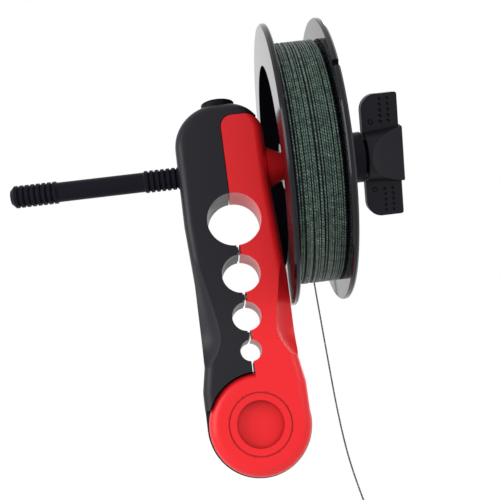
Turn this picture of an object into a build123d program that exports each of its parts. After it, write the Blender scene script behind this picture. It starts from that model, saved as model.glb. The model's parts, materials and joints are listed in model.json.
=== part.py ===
"""Fishing line winder: a two-jaw rod clamp with a spool of line on a sliding spindle.

Millimetres. +X runs along the spindle towards the spool, +Y to the rear of the clamp,
+Z up to the release button. The origin is the centre of the largest clamp hole,
half-way through the jaws.
"""
from build123d import *
from math import atan, cos, degrees, hypot, pi, radians, sin, sqrt, tan
import os

# ---------------------------------------------------------------- driving dimensions
# clamp holes, from the largest down to the smallest, then the pivot
HOLE_1_R = 11.2
HOLE_2_R = 7.9
HOLE_3_R = 5.9
HOLE_4_R = 4.3
PITCH_1_2 = 23.0
PITCH_2_3 = 17.6
PITCH_3_4 = 13.8
PITCH_4_PIVOT = 29.2
SLIT = 1.0                 # gap between the closed jaws
TOOTH_REACH = 0.6          # small tooth on each land between two holes
TOOTH_HEIGHT = 2.4

# body of the clamp, both jaws together
THICK = 20.0
BODY_TOP = 51.5            # dome above the largest hole
BLACK_TOP_HALF = 20.9      # distance of the black side from the middle, from top to foot
BLACK_WAIST_HALF = 19.4
RED_TOP_HALF = 17.1
RED_WAIST_HALF = 18.8
DOME_R_BLACK = 18.6
DOME_R_RED = 14.0
WAIST_TOP = 25.0           # below the largest hole's centre
SHOULDER_LOW = 15.0        # above the pivot
SHOULDER_HIGH = 25.0
BEND_R = 12.0              # soft bends of the side outline
FRONT_EDGE_R = 4.2
REAR_EDGE_R = 2.4
PART_GAP = 0.3             # clearance between the two jaws where they lap

# grip scoop along each front edge
SCOOP_R = 15.6
SCOOP_AXIS_OUT = 6.0       # axis of the scoop outside the waist
SCOOP_AXIS_FRONT = 6.9     # and in front of the front face
SCOOP_LOW = 38.0           # widest place, above the pivot
SCOOP_RISE = 60.0          # length above the widest place
SCOOP_FALL = 19.0          # length below it
SCOOP_TIP_R = 5.6

# pivot
RED_DISC_R = 20.4
BLACK_DISC_R = 21.2
DISH_R = 9.4
DISH_DEPTH = 3.8
RING_R = 12.4
RING_WIDTH = 0.6
RING_DEPTH = 0.4
RING_TICKS = 8
TICK_SIZE = 1.6
TICK_TURN = 27.0           # degrees, first tick above the level
POST_R = 5.0
POST_RUN = 0.06
POST_SINK = 3.6            # depth of the post's seat in the red disc
WELL_R = 9.0               # well in the rear of the black disc
WELL_FLOOR = 5.5           # distance of its floor from the middle plane
WASHER_R = 8.0
WASHER_THICK = 1.0
PIVOT_SCREW_R = 2.0
PIVOT_HEAD_R = 3.8
PIVOT_HEAD_HEIGHT = 1.7
PIVOT_SLOT_HALF = 0.5
POST_PROUD = 0.1           # post past the well's floor, so the washer runs free
CAP_THICK = 1.2

# red tongue under the black hood
TONGUE_SIDE = 0.6          # left side, left of the middle
TONGUE_TOP = 45.1
TONGUE_R_LEFT = 5.0
TONGUE_R_RIGHT = 7.5
TONGUE_REAR = 7.2          # rear face of the tongue, behind the middle plane
HOOD_FOOT = 14.6           # lower edge of the hood's rear wall
HOOD_TIP = 15.4            # right end of the hood over the tongue
TIP_FRONT = 3.5            # front of the hood's tip, in front of the middle plane

# rear covers
COVER_THICK = 2.0
COVER_MARGIN = 2.6
COVER_GAP = 0.12
HOLE_WALL = 2.0
COVER_SCREW_R = 1.25
COVER_HEAD_R = 2.5
COVER_SCREW_LENGTH = 8.0

# spindle
AXIS_UP = 23.0             # spindle above the largest hole
SPINDLE_R = 4.75
NECK_R = 4.2
GROOVE_R = 3.95
RIB_PITCH = 2.32
RIB_LAND = 1.2
END_RIBS = 8
BODY_RIBS = 14
SPINDLE_LEFT = 92.0
FIRST_END_RIB = 89.7
FIRST_BODY_RIB = 34.6
SPINDLE_END_DOME = 1.2
RUN = 0.05                 # running clearance on the spindle
JAW_OPEN = 7.0             # degrees, as far as the slot lets the jaw swing
SLOT_GAP = 0.35

# release button and catch
BUTTON_SIDE = 0.6
BUTTON_R = 7.2
BUTTON_PROUD = 2.8
BUTTON_CROWN = 0.5
BUTTON_TRAVEL = 2.0
BUTTON_WALL = 1.4
BUTTON_SKIRT = 1.5         # skirt inside the dome at rest
BUTTON_GAP = 0.2
BUTTON_END_GAP = 0.1       # under the pressed button
CATCH_FACE = 2.8           # right face of the catch, left of the middle
CATCH_THICK = 2.4
CATCH_HALF = 7.0
CATCH_BAR_HALF = 3.2
CATCH_RIM = 2.3
CATCH_GAP = 0.3
CATCH_CLEAR = 0.2
SPRING_WIRE = 0.6
SPRING_R = 2.9
SPRING_SIDE = 1.7
SPRING_TURNS = 4

# spool
FLANGE_R = 60.0
SPOOL_LEFT = 19.6
SPOOL_WIDTH = 24.8
FLANGE_THICK = 2.5
RECESS_R = 43.0
DRUM_WALL = 2.2
WEB_THICK = 3.0
HUB_R = 9.6
HUB_WIDTH = 16.6
HUB_BORE_R = 6.0
NOTCH_WIDTH = 3.0
NOTCH_DEPTH = 2.0
NOTCH_ANGLE = 160.0
PACK_R = 51.7
PACK_GAP = 0.15
PACK_EDGE = 0.8

# cone that carries the spool, with its sleeve in the red jaw
CONE_BASE_R = 9.2
CONE_PAST_SEAT = 1.2       # cone inside the spool's hub
CONE_RUN = 0.15
CONE_FOOT_GAP = 1.5        # flat side of the jaw below the cone
SLEEVE_R = 5.7

# pressure collar and drag washer
COLLAR_R = 10.9
COLLAR_EDGE = 0.6
NOSE_EDGE = 0.8
COLLAR_BACK = 58.2
NOSE_REACH = 2.2           # nose inside the spool's hub
NOSE_RUN = 0.15
DRAG_THICK = 2.2
DRAG_GAP = 0.1
STUB_R = 7.4
STUB_LENGTH = 5.8
COLLAR_TRAVEL = 1.0

# wing knob
KNOB_LEFT_R = 10.9
KNOB_RIGHT_R = 12.2
KNOB_START_GAP = 1.2
KNOB_LENGTH = 16.9
KNOB_EDGE = 0.4
KNOB_TURN = 24.6           # degrees the wings are turned in the photograph
WING_REACH = 26.4
WING_AHEAD = 0.2           # wings ahead of the knob's left face
WING_LENGTH = 15.8
WING_THICK = 4.4
WING_CORNER_R = 6.5
WING_TIP_R = 1.1
TIP_HALF = 3.0             # half thickness of the knob's thin end
FACET_IN = 1.0             # thumb face from the knob's left face
FACET_SAG = 0.6
PIN_R = 1.0
PIN_IN = 7.9               # cross pin from the knob's left face
PIN_HALF = 9.6
PIN_GROOVE_R = 3.65
PIN_GROOVE_SIDE = 0.15
SPINDLE_PAST_PIN = 2.0
BORE_END_GAP = 0.3

# line that hangs from the spool
LINE_R = 0.4
LINE_GAP = 0.3
LOOP_R = 3.6
KNOT_R = 1.0
KNOT_LENGTH = 3.4

# ---------------------------------------------------------------- worked-out places
HALF = THICK / 2
FIT = 0.02
HOLE_ROW = []
hole_z = 0.0
for radius, step in ((HOLE_1_R, PITCH_1_2), (HOLE_2_R, PITCH_2_3), (HOLE_3_R, PITCH_3_4), (HOLE_4_R, PITCH_4_PIVOT)):
    HOLE_ROW.append((hole_z, radius))
    hole_z -= step
PIVOT_Z = hole_z
LAP = PART_GAP / 2
AXIS_HIGH = AXIS_UP - PIVOT_Z
SPOOL_MID = SPOOL_LEFT + SPOOL_WIDTH / 2
SPOOL_RIGHT = SPOOL_LEFT + SPOOL_WIDTH
DRUM_R = RECESS_R + DRUM_WALL
HUB_LEFT = SPOOL_MID - HUB_WIDTH / 2
HUB_RIGHT = SPOOL_MID + HUB_WIDTH / 2
KNOB_START = COLLAR_BACK + KNOB_START_GAP
KNOB_END = KNOB_START + KNOB_LENGTH
WING_START = KNOB_START - WING_AHEAD
WING_END = WING_START + WING_LENGTH
FACET_START = KNOB_START + FACET_IN
PIN_PLACE = KNOB_START + PIN_IN
SPINDLE_STOP = PIN_PLACE + SPINDLE_PAST_PIN
BUTTON_TOP = BODY_TOP + BUTTON_PROUD
BUTTON_FOOT = BODY_TOP - BUTTON_SKIRT
BUTTON_ROOF = BUTTON_TOP - BUTTON_WALL
BUTTON_FLOOR = BUTTON_FOOT - BUTTON_TRAVEL - BUTTON_END_GAP
FAR = 200.0
SPINDLE_AXIS = Axis((0, 0, AXIS_UP), (1, 0, 0))


def save(node, shape):
    """Write one named piece."""
    export_step(shape, f"parts/{node}.step")
    return shape


# ---------------------------------------------------------------- shared helpers
def slab(face, front, rear):
    """Prism of an XZ outline between two depths."""
    plane = Plane(origin=(0, rear, 0), x_dir=(1, 0, 0), z_dir=(0, -1, 0))
    return extrude(plane * face, amount=rear - front)


def block(x0, x1, y0, y1, z0, z1):
    """Box from its limits."""
    box = Box(x1 - x0, y1 - y0, z1 - z0, align=(Align.MIN, Align.MIN, Align.MIN))
    return Pos(x0, y0, z0) * box


def disc_y(x, z, radius, front, rear):
    """Round bar along Y."""
    plane = Plane(origin=(x, rear, z), x_dir=(1, 0, 0), z_dir=(0, -1, 0))
    return extrude(plane * Circle(radius), amount=rear - front)


def bar_x(radius, start, end, z=AXIS_UP):
    """Round bar along X at the spindle's height."""
    plane = Plane(origin=(start, 0, z), x_dir=(0, 1, 0), z_dir=(1, 0, 0))
    return extrude(plane * Circle(radius), amount=end - start)


def turned(points):
    """Solid turned about the spindle's axis from (x, radius) corners."""
    corners = [(x, AXIS_UP + r) for x, r in points]
    face = Plane.XZ * make_face(Polyline(*corners, close=True))
    return revolve(face, SPINDLE_AXIS)


def round_corner(face, x, z, radius):
    """Round the corner of a flat outline that lies nearest to a point."""
    corner = min(face.vertices(), key=lambda v: hypot(v.X - x, v.Y - z))
    return fillet(corner, radius)


# ---------------------------------------------------------------- body outline
def body_outline():
    """Front view of the closed clamp: dome, straight sides, waist and round foot."""
    low = PIVOT_Z + SHOULDER_LOW
    high = PIVOT_Z + SHOULDER_HIGH
    left = [
        (-BLACK_DISC_R, PIVOT_Z),
        (-BLACK_DISC_R, low),
        (-BLACK_WAIST_HALF, high),
        (-BLACK_WAIST_HALF, -WAIST_TOP),
        (-BLACK_TOP_HALF, 0),
        (-BLACK_TOP_HALF, BODY_TOP),
    ]
    right = [
        (RED_TOP_HALF, BODY_TOP),
        (RED_TOP_HALF, AXIS_UP - CONE_BASE_R - CONE_FOOT_GAP),
        (RED_WAIST_HALF, -WAIST_TOP),
        (RED_WAIST_HALF, high),
        (RED_DISC_R, low),
        (RED_DISC_R, PIVOT_Z),
    ]
    sides = Polyline(*left, *right)
    foot_r = (BLACK_DISC_R + RED_DISC_R) / 2
    foot_bottom = ((RED_DISC_R - BLACK_DISC_R) / 2, PIVOT_Z - foot_r)
    foot = ThreePointArc(right[-1], foot_bottom, left[0])
    face = make_face(sides + foot)
    face = round_corner(face, *left[-1], DOME_R_BLACK)
    face = round_corner(face, *right[0], DOME_R_RED)
    for x, z in left[1:5] + right[1:5]:
        face = round_corner(face, x, z, BEND_R)
    return face


def scoop_cutter(side):
    """Long hollow for the fingers along a front edge; side is -1 black, 1 red."""
    widest = PIVOT_Z + SCOOP_LOW
    tip = (SCOOP_TIP_R, widest + SCOOP_RISE)
    swell = (SCOOP_R * 0.97, widest + SCOOP_FALL * 0.2)
    heel = (SCOOP_R * 0.98, widest - SCOOP_FALL * 0.22)
    flank = (SCOOP_R * 0.72, widest - SCOOP_FALL * 0.68)
    bottom = (0, widest - SCOOP_FALL)
    cone = Line(tip, swell)
    hollow = Spline(swell, (SCOOP_R, widest), heel, flank, bottom, tangents=[cone % 1, (-1, -0.15)])
    profile = make_face(Polyline(bottom, (0, tip[1]), tip) + cone + hollow)
    solid = revolve(Plane.XZ * profile, Axis.Z)
    x = side * (BLACK_WAIST_HALF + SCOOP_AXIS_OUT)
    return Pos(x, -HALF - SCOOP_AXIS_FRONT, 0) * solid


def body_blank():
    """Both jaws as one moulding, with rounded edges and the two finger hollows."""
    blank = slab(body_outline(), -HALF, HALF)
    blank = fillet(blank.faces().sort_by(Axis.Y)[0].outer_wire().edges(), FRONT_EDGE_R)
    blank = fillet(blank.faces().sort_by(Axis.Y)[-1].outer_wire().edges(), REAR_EDGE_R)
    return blank - scoop_cutter(-1) - scoop_cutter(1)


def tongue_outline(grow=0.0):
    """Front outline of the red tongue, from the largest hole's centre up."""
    left = -TONGUE_SIDE - grow
    top = TONGUE_TOP + grow
    right = RED_TOP_HALF + grow
    face = make_face(Polyline((left, 0), (left, top), (right, top), (right, 0), close=True))
    face = round_corner(face, left, top, TONGUE_R_LEFT + grow)
    return round_corner(face, right, top, TONGUE_R_RIGHT + grow)


def swing_disc(radius, front, rear):
    """Everything nearer to the pivot than a radius, between two depths."""
    return disc_y(0, PIVOT_Z, radius, front, rear)


def rebate_r():
    """Radius about the pivot of the tongue's rear part, which the hood's tip swings over."""
    drop = HOOD_TIP - (RED_TOP_HALF - TONGUE_R_RIGHT)
    tip_z = TONGUE_TOP - TONGUE_R_RIGHT + sqrt(TONGUE_R_RIGHT ** 2 - drop ** 2)
    return hypot(HOOD_TIP, tip_z - PIVOT_Z) - PART_GAP


def shoulder_r():
    """Radius about the pivot of the highest point of the tongue's right shoulder."""
    middle_z = TONGUE_TOP - TONGUE_R_RIGHT - PIVOT_Z
    return hypot(RED_TOP_HALF - TONGUE_R_RIGHT, middle_z) + TONGUE_R_RIGHT


def clamp_holes():
    """The four round holes that take a rod, across both jaws."""
    return [disc_y(0, z, r, -FAR, FAR) for z, r in HOLE_ROW]


def land_middles():
    """Height of the middle of each land between two holes, and below the last."""
    middles = []
    for (z_up, r_up), (z_low, r_low) in zip(HOLE_ROW, HOLE_ROW[1:]):
        middles.append((z_up - r_up + z_low + r_low) / 2)
    return middles


def cover_outline(side):
    """Outline of a rear cover: inside the body's edge and clear of the hole walls."""
    face = offset(body_outline(), -COVER_MARGIN)
    walls = [Pos(0, z) * Circle(r + HOLE_WALL) for z, r in HOLE_ROW]
    foot = Pos(0, PIVOT_Z) * Circle(BLACK_DISC_R + COVER_MARGIN)
    seam = TONGUE_SIDE + PART_GAP + HOLE_WALL
    if side < 0:
        top = BODY_TOP
        keep = Pos(-FAR / 2 - seam, 0) * Rectangle(FAR, 2 * FAR)
    else:
        top = HOOD_FOOT - PART_GAP - HOLE_WALL
        keep = Pos(FAR / 2 + seam, 0) * Rectangle(FAR, 2 * FAR)
    band = Pos(0, (top + PIVOT_Z) / 2) * Rectangle(2 * FAR, top - PIVOT_Z)
    face = face & keep & band
    for cut in walls + [foot]:
        face = face - cut
    return max(face.faces(), key=lambda f: f.area)


def cover_screw_places(side):
    """Screws through a rear cover, as (x, z)."""
    low = PIVOT_Z + SHOULDER_HIGH + COVER_SCREW_LENGTH
    places = [(side * (HOLE_1_R + HOLE_WALL), land_middles()[0]), (side * (HOLE_1_R + HOLE_WALL), low)]
    if side < 0:
        places.append((side * (HOLE_1_R + HOLE_WALL), AXIS_UP + DOME_R_BLACK - HOLE_WALL))
    return places


def cover_screws(side):
    """Countersunk screws, flush with the rear cover."""
    screws = []
    for x, z in cover_screw_places(side):
        shank = disc_y(x, z, COVER_SCREW_R, HALF - COVER_SCREW_LENGTH, HALF)
        head = Plane(origin=(x, HALF, z), x_dir=(1, 0, 0), z_dir=(0, -1, 0)) * Circle(COVER_HEAD_R)
        cone = extrude(head, amount=COVER_HEAD_R - COVER_SCREW_R, taper=45)
        screws.append(shank + cone)
    return screws


def cover_seats(side):
    """Recess for the cover and the holes for its screws."""
    recess = slab(cover_outline(side), HALF - COVER_THICK, FAR)
    holes = []
    for x, z in cover_screw_places(side):
        holes.append(disc_y(x, z, COVER_SCREW_R + FIT, HALF - COVER_SCREW_LENGTH - FIT, FAR))
    return [recess] + holes


def rear_cover(side):
    """Flat rear cover with countersinks."""
    face = offset(cover_outline(side), -COVER_GAP)
    cover = slab(face, HALF - COVER_THICK + FIT, HALF)
    for x, z in cover_screw_places(side):
        cover -= disc_y(x, z, COVER_SCREW_R + FIT, 0, FAR)
        mouth = Plane(origin=(x, HALF, z), x_dir=(1, 0, 0), z_dir=(0, -1, 0)) * Circle(COVER_HEAD_R + FIT)
        cover -= extrude(mouth, amount=COVER_HEAD_R - COVER_SCREW_R, taper=45)
    return cover


# ---------------------------------------------------------------- red jaw
def pivot_disc(radius, front, rear, rounded_front):
    """Round foot of a jaw with its outer edge rounded."""
    disc = disc_y(0, PIVOT_Z, radius, front, rear)
    end = disc.faces().sort_by(Axis.Y)[0 if rounded_front else -1]
    return fillet(end.edges(), FRONT_EDGE_R if rounded_front else REAR_EDGE_R)


def dish_ring():
    """Shallow groove with small ticks round the dish."""
    groove = disc_y(0, PIVOT_Z, RING_R + RING_WIDTH / 2, -FAR, -HALF + RING_DEPTH)
    groove -= disc_y(0, PIVOT_Z, RING_R - RING_WIDTH / 2, -FAR, -HALF + RING_DEPTH)
    cuts = [groove]
    for index in range(RING_TICKS):
        angle = TICK_TURN + 360 / RING_TICKS * index
        tick = Pos(RING_R, 0) * RegularPolygon(TICK_SIZE / 2, 3)
        face = Pos(0, PIVOT_Z) * Rot(0, 0, angle) * tick
        cuts.append(slab(face, -FAR, -HALF + RING_DEPTH))
    return cuts


def red_jaw(blank):
    """Red jaw: column, front half of the pivot and the tongue under the hood."""
    column = block(SLIT / 2, FAR, -FAR, FAR, PIVOT_Z, 0)
    side = block(RED_TOP_HALF - 1, FAR, -FAR, FAR, 0, TONGUE_TOP - TONGUE_R_RIGHT)
    tongue = slab(tongue_outline(), -FAR, FAR) + side
    jaw = blank & (column + tongue)
    top_band = block(-FAR, FAR, -TIP_FRONT - PART_GAP, FAR, HOOD_FOOT, FAR)
    jaw -= top_band - swing_disc(rebate_r(), -FAR, FAR)
    jaw -= disc_y(0, PIVOT_Z, BLACK_DISC_R + PART_GAP, -LAP, FAR)
    jaw -= block(-FAR, FAR, TONGUE_REAR, FAR, HOOD_FOOT - PART_GAP, FAR)
    jaw += pivot_disc(RED_DISC_R, -HALF, -LAP, True)
    for hole in clamp_holes():
        jaw -= hole
    for z in land_middles():
        reach = SLIT / 2 + TOOTH_REACH
        jaw -= block(0, reach, -FAR, FAR, z - TOOTH_HEIGHT / 2 - PART_GAP, z + TOOTH_HEIGHT / 2 + PART_GAP)
    jaw -= disc_y(0, PIVOT_Z, DISH_R, -FAR, -HALF + DISH_DEPTH)
    for cut in dish_ring():
        jaw -= cut
    jaw -= disc_y(0, PIVOT_Z, POST_R + FIT, -LAP - POST_SINK, FAR)
    jaw -= bar_x(SLEEVE_R + FIT, -FAR, FAR)
    for cut in cover_seats(1):
        jaw -= cut
    return jaw


# ---------------------------------------------------------------- black jaw
def slot_rise(x):
    """How far the spindle seems to rise in the black jaw when the jaw is open."""
    angle = radians(JAW_OPEN)
    return (AXIS_HIGH + abs(x) * sin(angle)) / cos(angle) - AXIS_HIGH


def spindle_slot():
    """Way for the spindle through the black jaw, taller towards the outside."""
    inner = TONGUE_SIDE
    outer = BLACK_TOP_HALF + SLOT_GAP * 4
    radius = SPINDLE_R + SLOT_GAP
    low = bar_x(radius, -outer, -inner)
    rise_in = slot_rise(inner)
    rise_out = slot_rise(outer)
    web = make_face(Polyline(
        (-outer, AXIS_UP),
        (-inner, AXIS_UP),
        (-inner, AXIS_UP + rise_in),
        (-outer, AXIS_UP + rise_out),
        close=True,
    ))
    tilt = degrees(atan((rise_out - rise_in) / (outer - inner)))
    length = hypot(outer - inner, rise_out - rise_in)
    high = Pos(-inner, 0, AXIS_UP + rise_in) * Rot(0, tilt, 0) * Rot(0, -90, 0) * Cylinder(
        radius, length, align=(Align.CENTER, Align.CENTER, Align.MIN))
    return low + slab(web, -radius, radius) + high


def catch_rise():
    """Room above the spindle in the catch: the button's travel and the open jaw."""
    return BUTTON_TRAVEL + slot_rise(CATCH_FACE + CATCH_THICK) + CATCH_CLEAR


CATCH_FOOT = AXIS_UP - SPINDLE_R - CATCH_CLEAR - CATCH_RIM
CATCH_SHOULDER = AXIS_UP + catch_rise() + SPINDLE_R + CATCH_CLEAR + CATCH_RIM
CATCH_LEFT = -CATCH_FACE - CATCH_THICK


def catch_pocket():
    """Room for the catch and its bar, open to the rear cover."""
    left = CATCH_LEFT - CATCH_GAP
    right = -CATCH_FACE + CATCH_GAP
    rear = HALF - COVER_THICK
    foot = CATCH_FOOT - BUTTON_TRAVEL - CATCH_GAP
    wide = block(left, right, -CATCH_HALF - CATCH_GAP, rear, foot, CATCH_SHOULDER + CATCH_GAP)
    narrow = block(left, right, -CATCH_BAR_HALF - CATCH_GAP, rear, foot, BUTTON_FLOOR + 1)
    return wide + narrow


def black_jaw(blank):
    """Black jaw: column, hood over the red tongue and rear half of the pivot."""
    left = block(-FAR, -SLIT / 2, -FAR, FAR, PIVOT_Z, 0) + block(-FAR, FAR, -FAR, FAR, 0, FAR)
    jaw = blank & left
    cavity = slab(tongue_outline(PART_GAP), -FAR, TONGUE_REAR + PART_GAP)
    beside_tip = block(-FAR, FAR, -TIP_FRONT, FAR, HOOD_FOOT, FAR)
    jaw -= cavity - (beside_tip - swing_disc(rebate_r() + PART_GAP, -FAR, FAR))
    shoulder = block(RED_TOP_HALF - TONGUE_R_RIGHT, FAR, -FAR, -TIP_FRONT, 0, FAR)
    jaw -= shoulder & swing_disc(shoulder_r() + PART_GAP, -FAR, FAR)
    jaw -= block(HOOD_TIP, FAR, -FAR, TONGUE_REAR + PART_GAP, 0, FAR)
    jaw -= block(-TONGUE_SIDE - PART_GAP, FAR, 0, FAR, -FAR, HOOD_FOOT) & block(-FAR, FAR, 0, FAR, 0, FAR)
    jaw -= disc_y(0, PIVOT_Z, RED_DISC_R + PART_GAP, -FAR, LAP)
    jaw -= block(-FAR, FAR, -FAR, LAP, PIVOT_Z - FAR, PIVOT_Z + RED_DISC_R * 0.38)
    jaw += pivot_disc(BLACK_DISC_R, LAP, HALF, False)
    for z in land_middles():
        jaw += block(-SLIT, TOOTH_REACH - SLIT / 2, -HALF, HALF, z - TOOTH_HEIGHT / 2, z + TOOTH_HEIGHT / 2)
    for hole in clamp_holes():
        jaw -= hole
    jaw -= disc_y(0, PIVOT_Z, POST_R + POST_RUN, -FAR, FAR)
    jaw -= disc_y(0, PIVOT_Z, WELL_R, WELL_FLOOR, FAR)
    jaw -= spindle_slot()
    jaw -= catch_pocket()
    jaw -= Pos(-BUTTON_SIDE, 0, BUTTON_FLOOR) * Cylinder(
        BUTTON_R + BUTTON_GAP, FAR, align=(Align.CENTER, Align.CENTER, Align.MIN))
    for cut in cover_seats(-1):
        jaw -= cut
    return jaw


# ---------------------------------------------------------------- pivot hardware
def pivot_post():
    """Steel sleeve pressed into the red disc; the black disc turns on it."""
    post = disc_y(0, PIVOT_Z, POST_R, -LAP - POST_SINK + FIT, WELL_FLOOR + POST_PROUD)
    return post - disc_y(0, PIVOT_Z, PIVOT_SCREW_R + FIT, -FAR, FAR)


def pivot_washer():
    """Washer that keeps the black disc on its post."""
    front = WELL_FLOOR + POST_PROUD
    ring = disc_y(0, PIVOT_Z, WASHER_R, front, front + WASHER_THICK)
    return ring - disc_y(0, PIVOT_Z, PIVOT_SCREW_R + FIT, -FAR, FAR)


def pivot_screw():
    """Pan head screw through the washer into the post."""
    seat = WELL_FLOOR + POST_PROUD + WASHER_THICK
    shank = disc_y(0, PIVOT_Z, PIVOT_SCREW_R, -LAP - POST_SINK + 2 * FIT, seat)
    head = disc_y(0, PIVOT_Z, PIVOT_HEAD_R, seat, seat + PIVOT_HEAD_HEIGHT)
    head = fillet(head.faces().sort_by(Axis.Y)[-1].edges(), PIVOT_HEAD_HEIGHT / 2)
    low = PIVOT_Z - PIVOT_SLOT_HALF
    high = PIVOT_Z + PIVOT_SLOT_HALF
    slot = block(-PIVOT_HEAD_R, PIVOT_HEAD_R, seat + PIVOT_HEAD_HEIGHT / 2, FAR, low, high)
    return shank + head - slot


def pivot_cap():
    """Round plug that closes the well at the rear."""
    cap = disc_y(0, PIVOT_Z, WELL_R - FIT, HALF - CAP_THICK, HALF)
    return chamfer(cap.faces().sort_by(Axis.Y)[-1].edges(), CAP_THICK * 0.35)


# ---------------------------------------------------------------- button and catch
def top_button():
    """Round push button with a hollow underside and a crowned top."""
    outer = Cylinder(BUTTON_R, BUTTON_TOP - BUTTON_FOOT, align=(Align.CENTER, Align.CENTER, Align.MIN))
    outer = fillet(outer.faces().sort_by(Axis.Z)[-1].edges(), BUTTON_WALL * 0.6)
    flat_r = BUTTON_R - BUTTON_WALL
    hollow = Cylinder(flat_r, BUTTON_ROOF - BUTTON_FOOT, align=(Align.CENTER, Align.CENTER, Align.MIN))
    ball_r = (flat_r ** 2 + BUTTON_CROWN ** 2) / (2 * BUTTON_CROWN)
    crown = Pos(0, 0, BUTTON_TOP - BUTTON_FOOT + BUTTON_CROWN - ball_r) * Sphere(ball_r)
    crown &= Pos(0, 0, BUTTON_TOP - BUTTON_FOOT) * Cylinder(BUTTON_R, 2 * BUTTON_CROWN)
    return Pos(-BUTTON_SIDE, 0, BUTTON_FOOT) * (outer + crown - hollow)


def catch_plate():
    """Plate round the spindle that hangs from the button and catches a rib."""
    face_plate = Rectangle(2 * CATCH_HALF, CATCH_SHOULDER - CATCH_FOOT, align=(Align.CENTER, Align.MIN))
    face_plate = Pos(0, CATCH_FOOT) * fillet(face_plate.vertices(), CATCH_RIM * 0.8)
    bar = Pos(0, CATCH_SHOULDER - 1) * Rectangle(
        2 * CATCH_BAR_HALF, BUTTON_ROOF - CATCH_SHOULDER + 1, align=(Align.CENTER, Align.MIN))
    radius = SPINDLE_R + CATCH_CLEAR
    rise = catch_rise()
    hole = Pos(0, AXIS_UP) * Circle(radius) + Pos(0, AXIS_UP + rise) * Circle(radius)
    hole += Pos(0, AXIS_UP + rise / 2) * Rectangle(2 * radius, rise)
    face = face_plate + bar - hole
    plane = Plane(origin=(CATCH_LEFT, 0, 0), x_dir=(0, 1, 0), z_dir=(1, 0, 0))
    return extrude(plane * face, amount=CATCH_THICK)


def button_spring():
    """Coil spring between the dome and the button's roof."""
    height = BUTTON_ROOF - BUTTON_FLOOR - SPRING_WIRE
    path = Helix(height / SPRING_TURNS, height, SPRING_R)
    start = path @ 0
    section = Plane(origin=start, z_dir=path % 0) * Circle(SPRING_WIRE / 2)
    coil = sweep(section, path=path)
    return Pos(SPRING_SIDE, 0, BUTTON_FLOOR + SPRING_WIRE / 2) * coil


# ---------------------------------------------------------------- spindle
def spindle():
    """Turned spindle: domed ribbed end, thin neck, ribs in the clamp and a plain right part."""
    points = [(-SPINDLE_LEFT, 0), (-SPINDLE_LEFT, NECK_R - SPINDLE_END_DOME)]
    points.append((-SPINDLE_LEFT + SPINDLE_END_DOME, NECK_R))
    half_land = RIB_LAND / 2
    flank = (RIB_PITCH - RIB_LAND) / 2

    def ribs(first, count):
        for index in range(count):
            middle = first + index * RIB_PITCH
            points.append((middle - half_land, SPINDLE_R))
            points.append((middle + half_land, SPINDLE_R))
            if index < count - 1:
                points.append((middle + half_land + flank, GROOVE_R))

    ribs(-FIRST_END_RIB, END_RIBS)
    end = points[-1][0]
    points.append((end + flank, NECK_R))
    points.append((-FIRST_BODY_RIB - half_land - flank, NECK_R))
    ribs(-FIRST_BODY_RIB, BODY_RIBS)
    end = points[-1][0]
    points.append((end + flank, GROOVE_R))
    points.append((end + 2 * flank, SPINDLE_R))
    groove = PIN_R + PIN_GROOVE_SIDE
    points.append((PIN_PLACE - groove, SPINDLE_R))
    points.append((PIN_PLACE - groove, PIN_GROOVE_R))
    points.append((PIN_PLACE + groove, PIN_GROOVE_R))
    points.append((PIN_PLACE + groove, SPINDLE_R))
    points.append((SPINDLE_STOP, SPINDLE_R))
    points.append((SPINDLE_STOP, 0))
    return turned(points)


# ---------------------------------------------------------------- spool and its seats
def cone_r(x):
    """Radius of the cone at a place along the spindle."""
    slope = (CONE_BASE_R - HUB_BORE_R + CONE_RUN) / (HUB_LEFT - RED_TOP_HALF)
    return CONE_BASE_R - slope * (x - RED_TOP_HALF)


def spool_cone():
    """Red cone that carries the spool, with the sleeve that guides the spindle."""
    tip = HUB_LEFT + CONE_PAST_SEAT
    shape = turned([
        (-TONGUE_SIDE, 0),
        (-TONGUE_SIDE, SLEEVE_R),
        (RED_TOP_HALF + FIT, SLEEVE_R),
        (RED_TOP_HALF + FIT, CONE_BASE_R),
        (tip, cone_r(tip)),
        (tip, 0),
    ])
    return shape - bar_x(SPINDLE_R + RUN, -FAR, FAR)


def spool_half(side):
    """One moulded half of the spool; side is -1 left, 1 right."""
    outer = SPOOL_WIDTH / 2
    hub = HUB_WIDTH / 2
    web = WEB_THICK / 2
    profile = [
        (0, HUB_BORE_R),
        (hub, HUB_BORE_R),
        (hub, HUB_R),
        (web, HUB_R),
        (web, RECESS_R),
        (outer, RECESS_R),
        (outer, FLANGE_R - FLANGE_THICK * 0.3),
        (outer - FLANGE_THICK * 0.3, FLANGE_R),
        (outer - FLANGE_THICK * 0.8, FLANGE_R),
        (outer - FLANGE_THICK, FLANGE_R - FLANGE_THICK * 0.2),
        (outer - FLANGE_THICK, DRUM_R),
        (0, DRUM_R),
    ]
    half = turned([(SPOOL_MID + side * x, r) for x, r in profile])
    if side > 0:
        cut = block(0, FAR, FLANGE_R - NOTCH_DEPTH, FAR, -NOTCH_WIDTH / 2, NOTCH_WIDTH / 2)
        half -= Pos(0, 0, AXIS_UP) * Rot(NOTCH_ANGLE, 0, 0) * cut
    return half


def line_pack():
    """The wound line as one ring between the flanges."""
    start = SPOOL_LEFT + FLANGE_THICK + PACK_GAP
    end = SPOOL_RIGHT - FLANGE_THICK - PACK_GAP
    return turned([
        (start, DRUM_R + FIT),
        (start, PACK_R - PACK_EDGE),
        (start + PACK_EDGE, PACK_R),
        (end - PACK_EDGE, PACK_R),
        (end, PACK_R - PACK_EDGE),
        (end, DRUM_R + FIT),
    ])


NOSE_R = HUB_BORE_R - NOSE_RUN
COLLAR_FRONT = HUB_RIGHT + DRAG_GAP + DRAG_THICK


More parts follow.
